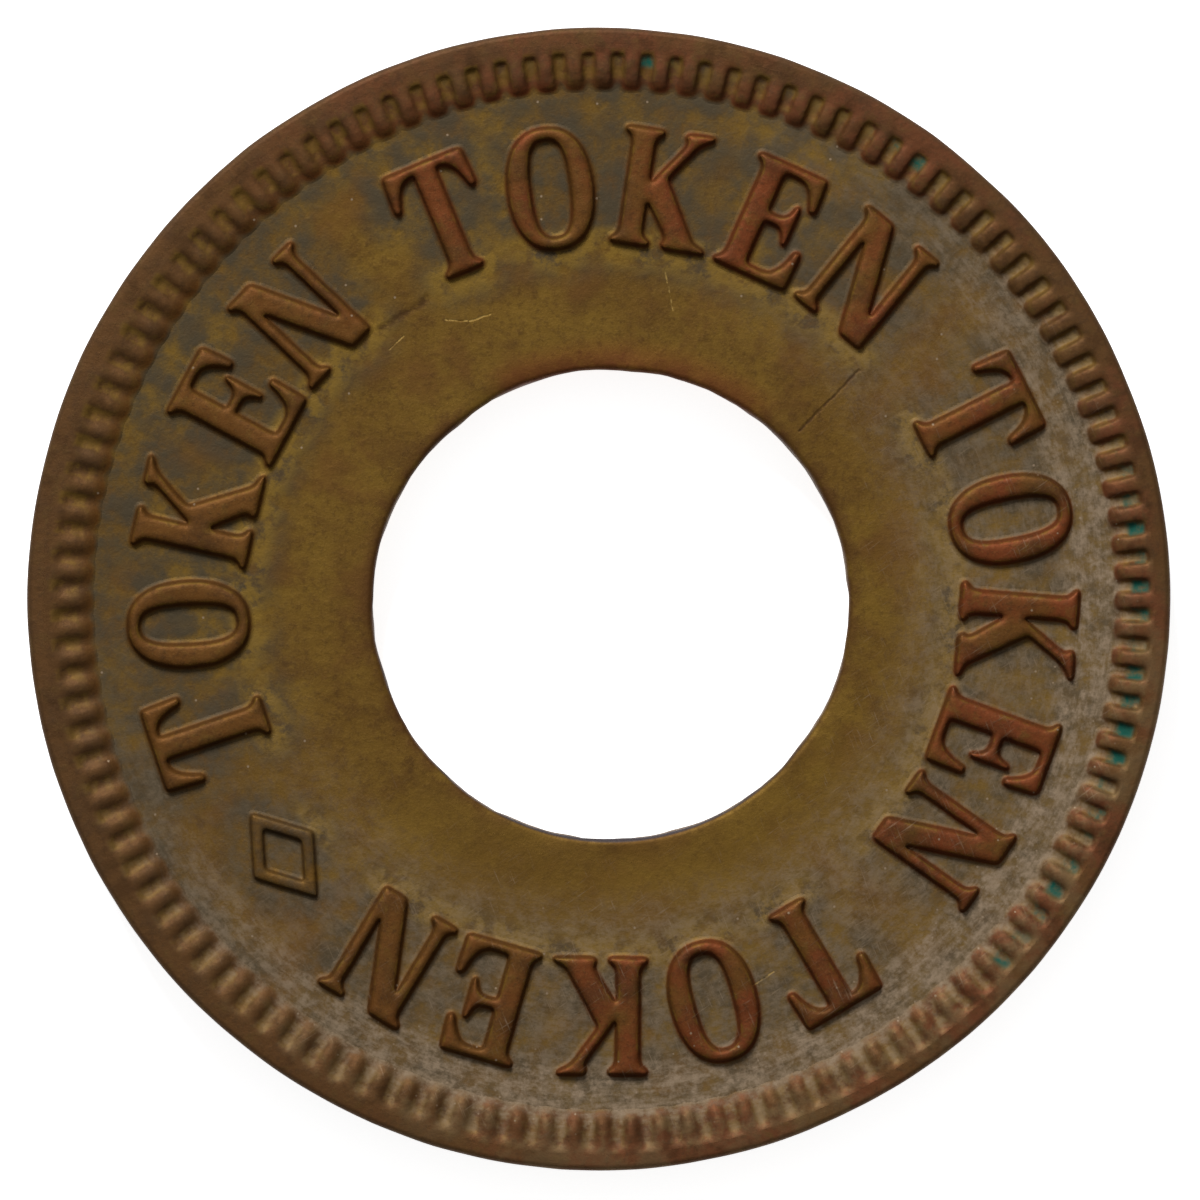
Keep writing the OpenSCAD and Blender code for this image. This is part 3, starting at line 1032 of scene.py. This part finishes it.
# %% Put the recipe together
def toned_brass(name, rubbed):
    s = Spot(name)
    dust, damp = dust_mask(s), damp_mask(s)
    scratches = line_mask(s, SCRATCHES, 2.0, 0.12)
    dark_lines = line_mask(s, DARK_LINES, 2.5, 0.16)

    colour = relief_colour(s, rubbed)
    colour = border_colour(s, mouth_colour(s, colour))
    colour = dusty_colour(s, colour, dust)
    colour = s.mix(damp, colour, VERDIGRIS)
    colour = s.mix(scratches * s.rise(s.grain, 0.40, 0.60) * 0.7, colour, BARE_BRASS)
    colour = s.mix(dark_lines * s.rise(s.grain, 0.30, 0.55) * 0.75, colour, DARK_BROWN)

    bumps = s.patch * 0.020 + s.blotch * 0.012 + s.grain * 0.006 + s.fine * 0.003
    relief = bumps - dark_lines * 0.008 - scratches * 0.005
    metal = s.node("BsdfPrincipled", None, {
        "Base Color": colour,
        "Metallic": 0.40 - 0.35 * dust - 0.35 * damp,
        "Roughness": 0.47 + 0.20 * s.grain + 0.2 * dust + 0.2 * damp,
        "Specular IOR Level": 0.1,
        "Normal": s.node("Bump", None, {"Height": relief, "Strength": 1.0, "Distance": MM}),
    })
    s.node("OutputMaterial", None, {"Surface": metal})
    return s.material


# %% Give every piece its finish
FINISHES = {
    "field_brass": toned_brass("field_brass", rubbed=0.3),
    "relief_brass": toned_brass("relief_brass", rubbed=0.95),
    "border_brass": toned_brass("border_brass", rubbed=0.95),
}


def finish_of(node):
    if node == "blank" or node.endswith("lozenge"):
        return "field_brass"
    return "relief_brass" if "word" in node else "border_brass"


for node, piece in struck.items():
    piece.data.materials.clear()
    piece.data.materials.append(FINISHES[finish_of(node)])
    finish_piece(piece, node, finish_of(node))

# %% [markdown]
# ## The table
# The token lies on a light table: a plain white plate, far larger than the token, with a
# soft glow of its own. The glow thins the token's shadow, as it does for a product picture.

# %% Lay the table
TABLE = 400
TABLE_GLOW = 0.85
bpy.ops.object.select_all(action="DESELECT")
bpy.ops.mesh.primitive_plane_add(size=TABLE * MM, location=(0, 0, 0))
table = bpy.context.object
table.name = "table"
paint = Graph("table_paint")
paper = paint.node("BsdfPrincipled", None, {
    "Base Color": (0.9, 0.9, 0.9, 1), "Roughness": 0.9,
    "Emission Color": (1, 1, 1, 1), "Emission Strength": TABLE_GLOW,
})
paint.node("OutputMaterial", None, {"Surface": paper})
table.data.materials.append(paint.material)

# %% [markdown]
# ## Light
# The key lamp stands beyond the top of the token, a little to the left, so the lower walls
# of the letters fall into shade. A wide dim panel overhead is what the flat metal mirrors.
# The studio around them is dimmer still, so a wall that faces sideways stays dark.

# %% Light the token
KEY_LAMP = {"place": (-45, 150, 135), "size": 70, "power": 0.51}
OVERHEAD_PANEL = {"place": (0, 30, 260), "size": 320, "power": 0.12}
STUDIO_GLOW = 0.08


def add_softbox(name, place, size, power):
    bpy.ops.object.light_add(type="AREA", location=[v * MM for v in place])
    lamp = bpy.context.object
    lamp.name = name
    lamp.data.shape = "DISK"
    lamp.data.size = size * MM
    lamp.data.energy = power
    lamp.rotation_euler = (-Vector(place)).to_track_quat("-Z", "Y").to_euler()


add_softbox("key_lamp", **KEY_LAMP)
add_softbox("overhead_panel", **OVERHEAD_PANEL)
studio = bpy.data.worlds.new("studio")
bpy.context.scene.world = studio
studio.use_nodes = True
studio.node_tree.nodes["Background"].inputs["Color"].default_value = (1, 1, 1, 1)
studio.node_tree.nodes["Background"].inputs["Strength"].default_value = STUDIO_GLOW
bpy.context.scene.view_settings.view_transform = "Standard"

# %% [markdown]
# ## The camera
# The camera looks straight down through a long lens, so the token stays round and only a
# sliver of the hole's wall shows. Its distance follows from the width of the picture.

# %% Point the camera
PICTURE_WIDTH = 22.26
AIM_X, AIM_Y = 0.02, -0.026
LENS, SENSOR = 300, 36
distance = PICTURE_WIDTH * LENS / SENSOR
widest_z = FRONT_FIELD + RIM_HEIGHT / 4
bpy.ops.object.camera_add(
    location=(AIM_X * MM, AIM_Y * MM, (widest_z + distance) * MM), rotation=(0, 0, 0)
)
camera = bpy.context.object
camera.data.lens = LENS
camera.data.sensor_width = SENSOR
camera.data.clip_start, camera.data.clip_end = 0.001, 10
bpy.context.scene.camera = camera
print(f"camera {distance:.1f} mm above the token")
